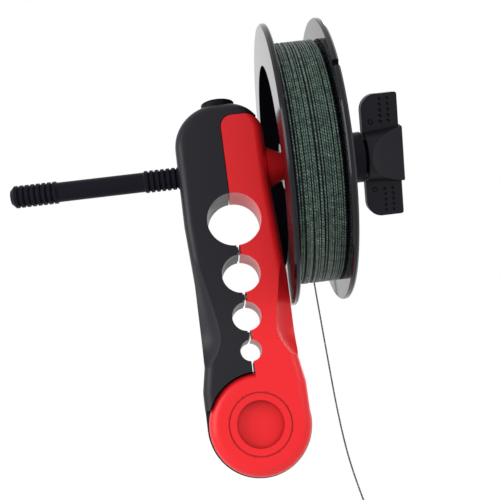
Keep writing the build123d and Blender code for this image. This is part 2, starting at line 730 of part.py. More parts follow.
def pressure_collar():
    """Collar that centres and presses the spool; its stub turns in the knob's thread."""
    shape = turned([
        (HUB_RIGHT - NOSE_REACH, 0),
        (HUB_RIGHT - NOSE_REACH, NOSE_R - NOSE_EDGE),
        (HUB_RIGHT - NOSE_REACH + NOSE_EDGE, NOSE_R),
        (COLLAR_FRONT, NOSE_R),
        (COLLAR_FRONT, COLLAR_R - COLLAR_EDGE),
        (COLLAR_FRONT + COLLAR_EDGE, COLLAR_R),
        (COLLAR_BACK, COLLAR_R),
        (COLLAR_BACK, STUB_R),
        (COLLAR_BACK + STUB_LENGTH, STUB_R),
        (COLLAR_BACK + STUB_LENGTH, 0),
    ])
    return shape - bar_x(SPINDLE_R + RUN, -FAR, FAR)


def drag_washer():
    """Soft ring between the collar and the spool's hub."""
    start = HUB_RIGHT + DRAG_GAP
    ring = bar_x(COLLAR_R - COLLAR_EDGE / 2, start, start + DRAG_THICK - FIT)
    return ring - bar_x(NOSE_R + FIT, -FAR, FAR)


# ---------------------------------------------------------------- wing knob
def wing_outline():
    """One wing in the plane of the spindle."""
    root = STUB_R + DRAG_GAP + PIN_R
    corners = [(WING_START, root), (WING_START, WING_REACH), (WING_END, WING_REACH), (WING_END, root)]
    face = make_face(Polyline(*corners, close=True))
    face = round_corner(face, WING_START, WING_REACH, WING_CORNER_R)
    return round_corner(face, WING_END, WING_REACH, WING_TIP_R)


def facet_cutter():
    """Hollow-ground thumb face that thins the knob towards its end."""
    start = (FACET_START, -KNOB_LEFT_R * 1.04)
    end = (KNOB_END + 0.2, -TIP_HALF)
    middle = ((start[0] + end[0]) / 2, (start[1] + end[1]) / 2 + FACET_SAG)
    edge = ThreePointArc(start, middle, end)
    back = Polyline(end, (end[0], -FAR / 4), (start[0] - 1, -FAR / 4), (start[0] - 1, start[1]), start)
    return extrude(make_face(edge + back), amount=2 * KNOB_RIGHT_R, both=True)


def wing_knob():
    """Flared hub with two thumb faces and two wings, turned as in the photograph."""
    profile = Polyline(
        (KNOB_START, 0),
        (KNOB_START, KNOB_LEFT_R - KNOB_EDGE),
        (KNOB_START + KNOB_EDGE, KNOB_LEFT_R),
        (KNOB_END - KNOB_EDGE, KNOB_RIGHT_R),
        (KNOB_END, KNOB_RIGHT_R - KNOB_EDGE),
        (KNOB_END, 0),
        close=True,
    )
    hub = revolve(Plane.XZ * make_face(profile), Axis.X)
    cutter = facet_cutter()
    hub -= cutter
    hub -= mirror(cutter, about=Plane.XZ)
    wing = slab(wing_outline(), -WING_THICK / 2, WING_THICK / 2)
    wings = wing + mirror(wing, about=Plane.XY)
    knob = hub + wings
    knob -= bar_x(SPINDLE_R + RUN, 0, SPINDLE_STOP + BORE_END_GAP, z=0)
    knob -= bar_x(STUB_R + DRAG_GAP, 0, COLLAR_BACK + STUB_LENGTH + COLLAR_TRAVEL + BORE_END_GAP, z=0)
    knob -= knob_pin_bar(FIT)
    return Pos(0, 0, AXIS_UP) * Rot(KNOB_TURN, 0, 0) * knob


def knob_pin_bar(grow=0.0):
    """Cross pin beside the spindle, in the knob's own frame."""
    place = PIN_GROOVE_R + RUN + PIN_R
    return Pos(PIN_PLACE, place, 0) * Cylinder(PIN_R + grow, 2 * PIN_HALF + 2 * grow)


def knob_pin():
    """Steel pin that keeps the knob on the spindle while it turns."""
    return Pos(0, 0, AXIS_UP) * Rot(KNOB_TURN, 0, 0) * knob_pin_bar()


# ---------------------------------------------------------------- hanging line
LINE_Y = PACK_R + LINE_R + LINE_GAP
LINE_ROUTE = [
    (36.0, LINE_Y, AXIS_UP),
    (36.6, LINE_Y, -15.0),
    (37.7, LINE_Y - 0.2, -52.0),
    (39.0, LINE_Y, -88.0),
    (41.9, LINE_Y + 0.2, -113.0),
    (46.4, LINE_Y + 0.4, -131.0),
]


def route_radii(points):
    """Largest even arc at each inner corner of a cord's route."""
    radii = []
    for before, corner, after in zip(points, points[1:], points[2:]):
        run_in = Vector(*corner) - Vector(*before)
        run_out = Vector(*after) - Vector(*corner)
        half_turn = radians(run_in.get_angle(run_out)) / 2
        radii.append(0.45 * min(run_in.length, run_out.length) / tan(half_turn))
    return radii


def free_line():
    """Line from the rear of the pack down to its loop."""
    radii = route_radii(LINE_ROUTE)
    print("line arcs, mm:", [round(r) for r in radii])
    path = FilletPolyline(*LINE_ROUTE, radius=radii)
    section = Plane(origin=path @ 0, z_dir=path % 0) * Circle(LINE_R)
    tube = sweep(section, path=path)
    print("line length", round(path.length, 1), "volume ratio", round(tube.volume / (pi * LINE_R ** 2 * path.length), 4))
    return tube


def line_loop():
    """Knot and small loop at the end of the line."""
    end = Vector(*LINE_ROUTE[-1])
    along = (end - Vector(*LINE_ROUTE[-2])).normalized()
    plane = Plane(origin=end, z_dir=along)
    knot = extrude(plane * Circle(KNOT_R), amount=KNOT_LENGTH)
    knot = fillet(knot.edges(), KNOT_R * 0.6)
    middle = end + along * (KNOT_LENGTH + LOOP_R - LINE_R)
    ring = Plane(origin=middle, x_dir=along, z_dir=Vector(0, 1, 0)) * Torus(LOOP_R, LINE_R)
    return knot + ring


def main():
    """Build and write every piece."""
    os.makedirs("parts", exist_ok=True)
    blank = body_blank()
    save("red_jaw", red_jaw(blank))
    save("red_rear_cover", rear_cover(1))
    save("red_cover_screws", Compound(cover_screws(1)))
    save("spool_cone", spool_cone())
    save("pivot_post", pivot_post())
    save("pivot_washer", pivot_washer())
    save("pivot_screw", pivot_screw())
    save("black_jaw", black_jaw(blank))
    save("black_rear_cover", rear_cover(-1))
    save("black_cover_screws", Compound(cover_screws(-1)))
    save("pivot_cap", pivot_cap())
    save("button_spring", button_spring())
    save("top_button", top_button())
    save("catch_plate", catch_plate())
    save("spindle", spindle())
    save("spool_left_half", spool_half(-1))
    save("spool_right_half", spool_half(1))
    save("line_pack", line_pack())
    save("pressure_collar", pressure_collar())
    save("drag_washer", drag_washer())
    save("wing_knob", wing_knob())
    save("knob_pin", knob_pin())
    save("free_line", free_line())
    save("line_loop", line_loop())


main()
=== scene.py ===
"""Dresses the fishing line winder: moulded plastics, braided line, screws, stage and camera."""

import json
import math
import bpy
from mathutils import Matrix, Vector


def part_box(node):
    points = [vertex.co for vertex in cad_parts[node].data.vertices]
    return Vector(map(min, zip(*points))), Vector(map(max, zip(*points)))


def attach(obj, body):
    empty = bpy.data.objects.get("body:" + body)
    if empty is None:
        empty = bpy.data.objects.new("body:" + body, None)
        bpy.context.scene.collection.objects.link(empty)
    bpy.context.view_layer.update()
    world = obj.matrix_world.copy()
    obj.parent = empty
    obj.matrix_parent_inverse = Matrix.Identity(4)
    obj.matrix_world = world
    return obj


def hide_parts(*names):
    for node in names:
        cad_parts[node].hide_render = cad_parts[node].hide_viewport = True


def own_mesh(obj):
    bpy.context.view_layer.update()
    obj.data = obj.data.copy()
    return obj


bl_info = {
    "name": "Fishing line winder",
    "version": (1, 0, 0),
    "blender": (4, 5, 0),
    "location": "View3D > Sidebar > Winder",
    "description": "Builds the look of a clamp-on fishing line winder piece by piece",
    "category": "Object",
}

import bmesh
import bpy
from mathutils import Matrix, Vector

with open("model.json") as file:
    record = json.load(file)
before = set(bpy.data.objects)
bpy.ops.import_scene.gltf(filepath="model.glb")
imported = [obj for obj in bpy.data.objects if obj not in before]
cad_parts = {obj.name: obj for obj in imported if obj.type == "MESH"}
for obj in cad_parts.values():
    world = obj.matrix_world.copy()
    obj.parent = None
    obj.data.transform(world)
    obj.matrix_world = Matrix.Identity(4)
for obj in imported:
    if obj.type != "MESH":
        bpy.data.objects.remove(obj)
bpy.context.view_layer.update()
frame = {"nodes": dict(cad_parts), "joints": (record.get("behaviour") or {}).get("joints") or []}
NODES = frame["nodes"]
JOINTS = {joint["name"]: joint for joint in frame["joints"]}

# Places and sizes in metres that the finishes and added pieces follow, from the frame.
AXIS_UP = JOINTS["spool_spin"]["pos_m"][2]
PIVOT_HEIGHT = JOINTS["jaw_hinge"]["pos_m"][2]
FRONT_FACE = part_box("red_jaw")[0][1]
PACK_RADIUS = round(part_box("line_pack")[1][1], 5)

# Where the painted shade on the red foot begins and is full: depths behind its face, then radii.
GROOVE_DEPTHS = (0.00004, 0.00025)
GROOVE_EDGE = (0.01345, 0.01338)
DISH_EDGE = (0.0110, 0.0112)
DISH_WALL = (0.0078, 0.0094)

HUB_RADIUS = 0.04525  # under the wound line
HEAD_DEPTH = 0.00125  # of a cover screw
MERGE_WITHIN = 1e-6
KNOB_TURN = math.radians(24.6)  # of the wings from upright
LEAD_ANGLE = math.radians(50)  # that the free end lies on the spool

# Strength of the world's light: everywhere, and in addition on diffuse rays.
ROOM_LIGHT = 0.03
SOFT_LIGHT = 0.60

# The camera that the photograph was fitted with.
CAMERA_LENS = 59.118
CAMERA_PLACE = (
    (0.991278, 0.121207, -0.051740, -0.012625),
    (-0.026871, -0.198458, -0.979741, -0.339225),
    (-0.129020, 0.972586, -0.193470, -0.078832),
    (0, 0, 0, 1),
)

# Route of the hanging line, the same points as in the part's source, in metres.
LINE_ROUTE = [
    (0.0360, 0.0524, 0.0230),
    (0.0366, 0.0524, -0.0150),
    (0.0377, 0.0522, -0.0520),
    (0.0390, 0.0524, -0.0880),
    (0.0419, 0.0526, -0.1130),
    (0.0464, 0.0528, -0.1310),
]


# ---------------------------------------------------------------- settings
class WinderPlastics(bpy.types.PropertyGroup):
    """Colours and grain of the moulded pieces."""

    red: bpy.props.FloatVectorProperty(
        name="Red", description="Colour of the red jaw", subtype="COLOR",
        size=3, min=0, max=1, default=(0.74, 0.013, 0.018))
    black: bpy.props.FloatVectorProperty(
        name="Black", description="Colour of the matt black pieces", subtype="COLOR",
        size=3, min=0, max=1, default=(0.0085, 0.0078, 0.0125))
    spool: bpy.props.FloatVectorProperty(
        name="Spool", description="Colour of the glossy spool", subtype="COLOR",
        size=3, min=0, max=1, default=(0.0050, 0.0045, 0.0080))
    grain: bpy.props.FloatProperty(
        name="Grain Depth", description="Height of the moulded grain", unit="LENGTH",
        default=0.000012, min=0, max=0.0002, precision=6)


class WinderLine(bpy.types.PropertyGroup):
    """Size and colours of the braided line."""

    line_radius: bpy.props.FloatProperty(
        name="Line Radius", description="Half the line's thickness", unit="LENGTH",
        default=0.0004, min=0.0001, max=0.001, precision=5)
    pack_radius: bpy.props.FloatProperty(
        name="Pack Radius", description="Outside of the wound line", unit="LENGTH",
        default=PACK_RADIUS, min=0.046, max=0.058, precision=5)
    turns: bpy.props.IntProperty(
        name="Turns", description="Turns across the spool in the layer below the top",
        default=25, min=4, max=60)
    cross_turns: bpy.props.IntProperty(
        name="Top Turns", description="Turns across the spool in the top layer",
        default=21, min=2, max=60)
    wander: bpy.props.FloatProperty(
        name="Wander", description="How far a turn strays sideways", unit="LENGTH",
        default=0.00042, min=0, max=0.002, precision=5)
    seed: bpy.props.IntProperty(name="Seed", description="Seed of the stray turns", default=7)
    # Dark and Light Strand: painted shade deep in the braid and painted highlight on its top.
    dark: bpy.props.FloatVectorProperty(
        name="Dark Strand", description="Colour deep in the braid", subtype="COLOR",
        size=3, min=0, max=1, default=(0.0120, 0.0260, 0.0200))
    light: bpy.props.FloatVectorProperty(
        name="Light Strand", description="Colour on top of the braid", subtype="COLOR",
        size=3, min=0, max=1, default=(0.230, 0.345, 0.290))


class WinderStage(bpy.types.PropertyGroup):
    """Floor and lamps."""

    floor_height: bpy.props.FloatProperty(
        name="Floor Height", description="Height of the floor under the winder", unit="LENGTH",
        default=-0.30, min=-1, max=-0.15)
    key_power: bpy.props.FloatProperty(
        name="Key Power", description="Power of the large lamp on the left", unit="POWER",
        default=3.85, min=0, max=100)
    fill_power: bpy.props.FloatProperty(
        name="Fill Power", description="Power of the lamp in front on the right", unit="POWER",
        default=1.8, min=0, max=100)
    rear_power: bpy.props.FloatProperty(
        name="Rear Power", description="Power of the lamp behind on the right", unit="POWER",
        default=2.5, min=0, max=100)
    back_light: bpy.props.FloatProperty(
        name="Back Light", description="Brightness of the backdrop's light", default=0.9,
        min=0, max=2)


# ---------------------------------------------------------------- node helpers
def add(tree, kind, **values):
    """New node; values are its own properties."""
    node = tree.nodes.new(kind)
    for name, value in values.items():
        setattr(node, name, value)
    return node


def join(tree, source, target):
    """Link two sockets."""
    tree.links.new(source, target)


def feed(tree, value, slot):
    """Set a socket to a number, or link another socket to it."""
    if isinstance(value, (int, float)):
        slot.default_value = value
    else:
        join(tree, value, slot)


def math_node(tree, operation, first, second=None, third=None):
    """Math node on sockets or numbers; returns its output."""
    node = add(tree, "ShaderNodeMath", operation=operation)
    for slot, value in zip(node.inputs, (first, second, third)):
        if value is not None:
            feed(tree, value, slot)
    return node.outputs[0]


def vector_of(tree, *values):
    """Vector from up to three sockets or numbers."""
    node = add(tree, "ShaderNodeCombineXYZ")
    for slot, value in zip(node.inputs, values):
        feed(tree, value, slot)
    return node.outputs[0]


def parts_of(tree, vector):
    """Sockets X, Y and Z of a vector."""
    node = add(tree, "ShaderNodeSeparateXYZ")
    join(tree, vector, node.inputs[0])
    return node.outputs


def length_of(tree, vector):
    """Length of a vector."""
    node = add(tree, "ShaderNodeVectorMath", operation="LENGTH")
    join(tree, vector, node.inputs[0])
    return node.outputs["Value"]


def scaled(tree, vector, factor):
    """Vector or colour times a number."""
    node = add(tree, "ShaderNodeVectorMath", operation="SCALE")
    join(tree, vector, node.inputs[0])
    join(tree, factor, node.inputs["Scale"])
    return node.outputs[0]


def ramp_node(tree, value, low, high, start=0.0, stop=1.0, smooth=True):
    """Smooth or straight step from start at low to stop at high."""
    node = add(tree, "ShaderNodeMapRange", interpolation_type="SMOOTHSTEP" if smooth else "LINEAR")
    for label, number in (("From Min", low), ("From Max", high), ("To Min", start), ("To Max", stop)):
        node.inputs[label].default_value = number
    join(tree, value, node.inputs["Value"])
    return node.outputs[0]


def noise(tree, vector, scale, detail=2.0, distortion=0.0):
    """Soft noise from 0 to 1 on a vector; the scale is a socket or a number."""
    node = add(tree, "ShaderNodeTexNoise")
    feed(tree, scale, node.inputs["Scale"])
    node.inputs["Detail"].default_value = detail
    node.inputs["Distortion"].default_value = distortion
    join(tree, vector, node.inputs["Vector"])
    return node.outputs[0]


def new_group(name, inputs, outputs):
    """Shader node group with named sockets; returns the tree and its two end nodes."""
    tree = bpy.data.node_groups.new(name, "ShaderNodeTree")
    for label, kind, default in inputs:
        socket = tree.interface.new_socket(label, in_out="INPUT", socket_type=kind)
        if default is not None:
            socket.default_value = default
    for label, kind in outputs:
        tree.interface.new_socket(label, in_out="OUTPUT", socket_type=kind)
    return tree, add(tree, "NodeGroupInput"), add(tree, "NodeGroupOutput")


def moulded_grain_group():
    """Fine leathery grain of a moulded surface, with faint clouds in its colour."""
    tree, start, end = new_group(
        "Moulded grain",
        [
            ("Vector", "NodeSocketVector", None),
            ("Grain Scale", "NodeSocketFloat", 2600.0),
            ("Cloud Scale", "NodeSocketFloat", 34.0),
            ("Colour", "NodeSocketColor", (0.5, 0.5, 0.5, 1)),
            ("Cloud", "NodeSocketFloat", 0.06),
        ],
        [("Height", "NodeSocketFloat"), ("Colour", "NodeSocketColor")],
    )
    vector = start.outputs["Vector"]
    grain = noise(tree, vector, start.outputs["Grain Scale"])
    pebble = add(tree, "ShaderNodeTexVoronoi")
    join(tree, vector, pebble.inputs["Vector"])
    join(tree, start.outputs["Grain Scale"], pebble.inputs["Scale"])
    height = math_node(tree, "MULTIPLY_ADD", pebble.outputs["Distance"], 0.5, grain)
    join(tree, height, end.inputs["Height"])
    cloud = noise(tree, vector, start.outputs["Cloud Scale"], detail=4.0)
    centred = math_node(tree, "SUBTRACT", cloud, 0.5)
    gain = math_node(tree, "MULTIPLY_ADD", centred, start.outputs["Cloud"], 1.0)
    join(tree, scaled(tree, start.outputs["Colour"], gain), end.inputs["Colour"])
    return tree


def handling_group():
    """Rubbed and smudged places that change how glossy a surface is."""
    tree, start, end = new_group(
        "Handling marks",
        [
            ("Vector", "NodeSocketVector", None),
            ("Scale", "NodeSocketFloat", 60.0),
            ("Roughness", "NodeSocketFloat", 0.4),
            ("Amount", "NodeSocketFloat", 0.12),
        ],
        [("Roughness", "NodeSocketFloat")],
    )
    smudge = noise(tree, start.outputs["Vector"], start.outputs["Scale"], detail=6.0, distortion=0.6)
    change = ramp_node(tree, smudge, 0.35, 0.7, -0.5, 0.5, smooth=False)
    usual = start.outputs["Roughness"]
    value = math_node(tree, "MULTIPLY_ADD", change, start.outputs["Amount"], usual)
    join(tree, value, end.inputs["Roughness"])
    return tree


def braid_group():
    """Crossed strands of a braid from its length and its way round, coloured with painted shade deep in the
    weave and painted highlight and glints on the strands' tops.
    """
    tree, start, end = new_group(
        "Braid",
        [
            ("Along", "NodeSocketFloat", 0.0),
            ("Around", "NodeSocketFloat", 0.0),
            ("Pitch", "NodeSocketFloat", 0.0013),
            ("Under Strand", "NodeSocketFloat", 0.6),
            ("Dark", "NodeSocketColor", (0.01, 0.02, 0.02, 1)),
            ("Light", "NodeSocketColor", (0.1, 0.15, 0.12, 1)),
        ],
        [("Height", "NodeSocketFloat"), ("Colour", "NodeSocketColor")],
    )
    sharpness = 1.6
    fibres_along, fibres_around = 0.8, 3.0
    around = start.outputs["Around"]
    turns = math_node(tree, "DIVIDE", start.outputs["Along"], start.outputs["Pitch"])
    strands = []
    for operation in ("ADD", "SUBTRACT"):
        phase = math_node(tree, operation, turns, around)
        wave = math_node(tree, "SINE", math_node(tree, "MULTIPLY", phase, 2 * math.pi))
        strands.append(math_node(tree, "MULTIPLY_ADD", wave, 0.5, 0.5))
    under = math_node(tree, "MULTIPLY", strands[1], start.outputs["Under Strand"])
    height = math_node(tree, "POWER", math_node(tree, "MAXIMUM", strands[0], under), sharpness)
    where = vector_of(
        tree, math_node(tree, "MULTIPLY", turns, fibres_along),
        math_node(tree, "MULTIPLY", around, fibres_around))
    # Painted glints along the fibres: noise that raises the strands' height and so lightens their colour.
    glint = ramp_node(tree, noise(tree, where, 1.0, detail=3.0), 0.36, 0.66, 0.25, 1.10)
    height = math_node(tree, "MULTIPLY", height, glint)
    join(tree, height, end.inputs["Height"])
    # Painted shade and highlight: dark where the strands sink, light where they rise.
    mix = add(tree, "ShaderNodeMix", data_type="RGBA")
    join(tree, height, mix.inputs[0])
    join(tree, start.outputs["Dark"], mix.inputs[6])
    join(tree, start.outputs["Light"], mix.inputs[7])
    join(tree, mix.outputs[2], end.inputs["Colour"])
    return tree


def dimple_group():
    """Two columns of small dimples and one round mark on each wing of the knob."""
    tree, start, end = new_group(
        "Wing dimples",
        [
            ("Vector", "NodeSocketVector", None),
            ("Column", "NodeSocketFloat", 0.0671),
            ("Column Pitch", "NodeSocketFloat", 0.0034),
            ("Row", "NodeSocketFloat", 0.0144),
            ("Row Pitch", "NodeSocketFloat", 0.0024),
            ("Dimple Radius", "NodeSocketFloat", 0.00095),
            ("Mark Column", "NodeSocketFloat", 0.0629),
            ("Mark Row", "NodeSocketFloat", 0.0146),
            ("Mark Radius", "NodeSocketFloat", 0.0009),
        ],
        [("Height", "NodeSocketFloat")],
    )
    sizes = start.outputs
    place = parts_of(tree, sizes["Vector"])
    reach = math_node(tree, "ABSOLUTE", place["Z"])

    def from_nearest(value, first, pitch, count):
        """Distance from the nearest of a row of places."""
        steps = math_node(tree, "DIVIDE", math_node(tree, "SUBTRACT", value, first), pitch)
        nearest = math_node(tree, "MAXIMUM", math_node(tree, "ROUND", steps), 0.0)
        nearest = math_node(tree, "MINIMUM", nearest, count - 1.0)
        return math_node(tree, "MULTIPLY", math_node(tree, "SUBTRACT", steps, nearest), pitch)

    across = from_nearest(place["X"], sizes["Column"], sizes["Column Pitch"], 2)
    along = from_nearest(reach, sizes["Row"], sizes["Row Pitch"], 5)
    away = length_of(tree, vector_of(tree, across, along))
    bowl = ramp_node(tree, math_node(tree, "DIVIDE", away, sizes["Dimple Radius"]), 0.45, 1.0)
    mark_x = math_node(tree, "SUBTRACT", place["X"], sizes["Mark Column"])
    mark_z = math_node(tree, "SUBTRACT", reach, sizes["Mark Row"])
    from_mark = length_of(tree, vector_of(tree, mark_x, mark_z))
    off_ring = math_node(tree, "ABSOLUTE", math_node(tree, "SUBTRACT", from_mark, sizes["Mark Radius"]))
    groove = ramp_node(tree, off_ring, 0.0001, 0.00035)
    join(tree, math_node(tree, "MINIMUM", bowl, groove), end.inputs["Height"])
    return tree


GROUPS = {}


def group_node(tree, name, **values):
    """Places a shared effect in a material, with its own values."""
    makers = {
        "grain": moulded_grain_group,
        "handling": handling_group,
        "braid": braid_group,
        "dimples": dimple_group,
    }
    if name not in GROUPS:
        GROUPS[name] = makers[name]()
    node = add(tree, "ShaderNodeGroup", node_tree=GROUPS[name])
    for label, value in values.items():
        node.inputs[label.replace("_", " ")].default_value = value
    return node


# ---------------------------------------------------------------- materials
def blank_material(name):
    """Material with only a Principled shader; returns it, its tree and the shader."""
    material = bpy.data.materials.new(name)
    material.use_nodes = True
    tree = material.node_tree
    shader = next(n for n in tree.nodes if n.type == "BSDF_PRINCIPLED")
    return material, tree, shader


def object_vector(tree):
    """The piece's own coordinates in metres."""
    return add(tree, "ShaderNodeTexCoord").outputs["Object"]


def bump_node(tree, height, distance):
    """Full-strength bump of a height that spans a distance in metres."""
    bump = add(tree, "ShaderNodeBump")
    bump.inputs["Strength"].default_value = 1.0
    bump.inputs["Distance"].default_value = distance
    join(tree, height, bump.inputs["Height"])
    return bump


def plastic(name, colour, roughness, cloud, grain_scale, grain_height, smudge=0.12, specular=0.5, coat=0.0):
    """Moulded plastic with grain in its bump and smudges in its gloss."""
    material, tree, shader = blank_material(name)
    vector = object_vector(tree)
    grain = group_node(
        tree, "grain", Colour=(*colour, 1), Cloud=cloud, Grain_Scale=grain_scale, Cloud_Scale=34.0)
    join(tree, vector, grain.inputs["Vector"])
    join(tree, grain.outputs["Colour"], shader.inputs["Base Color"])
    marks = group_node(tree, "handling", Scale=60.0, Roughness=roughness, Amount=smudge)
    join(tree, vector, marks.inputs["Vector"])
    join(tree, marks.outputs["Roughness"], shader.inputs["Roughness"])
    bump = bump_node(tree, grain.outputs["Height"], grain_height)
    join(tree, bump.outputs["Normal"], shader.inputs["Normal"])
    shader.inputs["Coat Weight"].default_value = coat
    shader.inputs["Coat Roughness"].default_value = 0.15
    shader.inputs["Specular IOR Level"].default_value = specular
    return material, tree, bump, vector


def darken(tree, mask, least):
    """Paints shade: scales the base colour down to a least share where the mask is 1."""
    shader = next(n for n in tree.nodes if n.type == "BSDF_PRINCIPLED")
    slot = shader.inputs["Base Color"]
    source = slot.links[0].from_socket
    share = math_node(tree, "MULTIPLY_ADD", mask, least - 1.0, 1.0)
    join(tree, scaled(tree, source, share), slot)


def red_plastic(settings):
    """Satin red with painted shade in the ring groove and round the dish wall of the foot."""
    material, tree, _, vector = plastic(
        "red_moulding", settings.red, roughness=0.36, cloud=0.10, grain_scale=2300.0,
        grain_height=settings.grain, smudge=0.10, specular=0.28)
    place = parts_of(tree, vector)
    up = math_node(tree, "SUBTRACT", place["Z"], PIVOT_HEIGHT)
    radius = length_of(tree, vector_of(tree, place["X"], up))
    sunk = ramp_node(tree, place["Y"], *(FRONT_FACE + depth for depth in GROOVE_DEPTHS))
    before_edge = ramp_node(tree, radius, *GROOVE_EDGE)
    past_dish = ramp_node(tree, radius, *DISH_EDGE)
    groove = math_node(tree, "MULTIPLY", math_node(tree, "MULTIPLY", sunk, before_edge), past_dish)
    # Painted shade in the ring groove: the colour is scaled down where the groove sinks into the face.
    darken(tree, groove, 0.62)
    # Painted shade along the dish's inner wall, down to 0.74 of the colour.
    wall = ramp_node(tree, radius, *DISH_WALL)
    in_dish = math_node(tree, "SUBTRACT", 1.0, past_dish)
    dish_wall_shade = math_node(tree, "MULTIPLY", math_node(tree, "MULTIPLY", sunk, wall), in_dish)
    darken(tree, dish_wall_shade, 0.74)
    return material


def knob_plastic(settings):
    """Matt black with dimples on the wings, in the knob's own turned frame, and painted shade inside the
    dimples and the mark's groove.
    """
    material, tree, bump, vector = plastic(
        "knob_black", settings.black, roughness=0.40, cloud=0.25, grain_scale=2600.0,
        grain_height=settings.grain, specular=0.15)
    place = add(tree, "ShaderNodeMapping", vector_type="TEXTURE")
    place.inputs["Location"].default_value = (0, 0, AXIS_UP)
    place.inputs["Rotation"].default_value = (KNOB_TURN, 0, 0)
    join(tree, vector, place.inputs["Vector"])
    dimples = group_node(tree, "dimples")
    join(tree, place.outputs[0], dimples.inputs["Vector"])
    height = dimples.outputs["Height"]
    join(tree, bump_node(tree, height, 0.0008).outputs["Normal"], bump.inputs["Normal"])
    # Painted shade in the dimples and in the round mark's groove, down to a quarter of the colour.
    darken(tree, math_node(tree, "SUBTRACT", 1.0, height), 0.25)
    return material


def steel():
    """Plated steel with fine drawn lines."""
    material, tree, shader = blank_material("plated_steel")
    stretch = add(tree, "ShaderNodeMapping")
    stretch.inputs["Scale"].default_value = (4000, 300, 4000)
    join(tree, object_vector(tree), stretch.inputs["Vector"])
    lines = noise(tree, stretch.outputs[0], 1.0)
    join(tree, ramp_node(tree, lines, 0.0, 1.0, 0.22, 0.4, smooth=False), shader.inputs["Roughness"])
    shader.inputs["Base Color"].default_value = (0.60, 0.60, 0.62, 1)
    shader.inputs["Metallic"].default_value = 1.0
    return material


def rubber():
    """Dull rubber of the drag washer."""
    return plastic(
        "drag_rubber", (0.03, 0.03, 0.03), roughness=0.75, cloud=0.3, grain_scale=1500.0,
        grain_height=0.00003, smudge=0.1)[0]


def braid_material(name, settings, along, around, depth=None):
    """Braided line; along and around make sockets for where a point is on it, and depth makes the factor of
    painted shade between the turns and painted light on top of them.
    """
    material, tree, shader = blank_material(name)
    weave = group_node(
        tree, "braid", Pitch=0.0013, Dark=(*settings.dark, 1), Light=(*settings.light, 1))
    join(tree, along(tree), weave.inputs["Along"])
    join(tree, around(tree), weave.inputs["Around"])
    vary = group_node(tree, "grain", Cloud=2.4, Cloud_Scale=420.0, Grain_Scale=6000.0)
    join(tree, object_vector(tree), vary.inputs["Vector"])
    join(tree, weave.outputs["Colour"], vary.inputs["Colour"])
    colour = vary.outputs["Colour"]
    # Painted shade between the turns and painted light on their tops, as a factor on the colour.
    if depth:
        colour = scaled(tree, colour, depth(tree))
    join(tree, colour, shader.inputs["Base Color"])
    marks = group_node(tree, "handling", Scale=400.0, Roughness=0.42, Amount=0.2)
    join(tree, object_vector(tree), marks.inputs["Vector"])
    join(tree, marks.outputs["Roughness"], shader.inputs["Roughness"])
    bump = bump_node(tree, weave.outputs["Height"], 0.00030)
    join(tree, bump.outputs["Normal"], shader.inputs["Normal"])
    shader.inputs["Specular IOR Level"].default_value = 0.35
    return material


def attribute_socket(label):
    """Maker of a socket that reads a stored attribute."""
    def make(tree):
        return add(tree, "ShaderNodeAttribute", attribute_name=label).outputs["Fac"]
    return make


def way_stored():
    """Makers of the sockets along and around for a line that has both stored on it."""
    return attribute_socket("along"), attribute_socket("around")


def height_socket(tree):
    """Length of a hanging line, read from its height."""
    return parts_of(tree, object_vector(tree))["Z"]


def side_socket(tree):
    """Way round a hanging line, read from how far to the side a point lies."""
    rounds_per_metre = 600.0
    return math_node(tree, "MULTIPLY", parts_of(tree, object_vector(tree))["X"], rounds_per_metre)


def wound_gap_shade(settings):
    """Maker of a colour factor of painted shade and painted light: small between the turns and over 1 on
    top of them.
    """
    low = settings.pack_radius - 1.5 * settings.line_radius
    high = settings.pack_radius - 0.1 * settings.line_radius

    def make(tree):
        place = parts_of(tree, object_vector(tree))
        up = math_node(tree, "SUBTRACT", place["Z"], AXIS_UP)
        radius = length_of(tree, vector_of(tree, place["Y"], up))
        return ramp_node(tree, radius, low, high, 0.07, 1.9)
    return make


def paint(names, material):
    """Gives CAD nodes one material."""
    for name in names:
        node = NODES[name]
        if not node.material_slots:
            node.data.materials.append(material)
        for place in node.material_slots:
            place.material = material


# ---------------------------------------------------------------- mesh helpers
def finished(name, data, material, body):
    """Object of a mesh or curve, at the origin with its place in its data, riding on a body."""
    piece = bpy.data.objects.new(name, data)
    bpy.context.scene.collection.objects.link(piece)
    data.materials.clear()
    data.materials.append(material)
    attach(piece, body)
    return piece


def merged_form(node):
    """Mesh of a CAD node, open for work, with its loose corners merged."""
    form = bmesh.new()
    form.from_mesh(node.data)
    bmesh.ops.remove_doubles(form, verts=form.verts, dist=MERGE_WITHIN)
    return form


def mesh_from(form, name):
    """Closes a worked form into a mesh."""
    mesh = bpy.data.meshes.new(name)
    form.to_mesh(mesh)
    form.free()
    return mesh


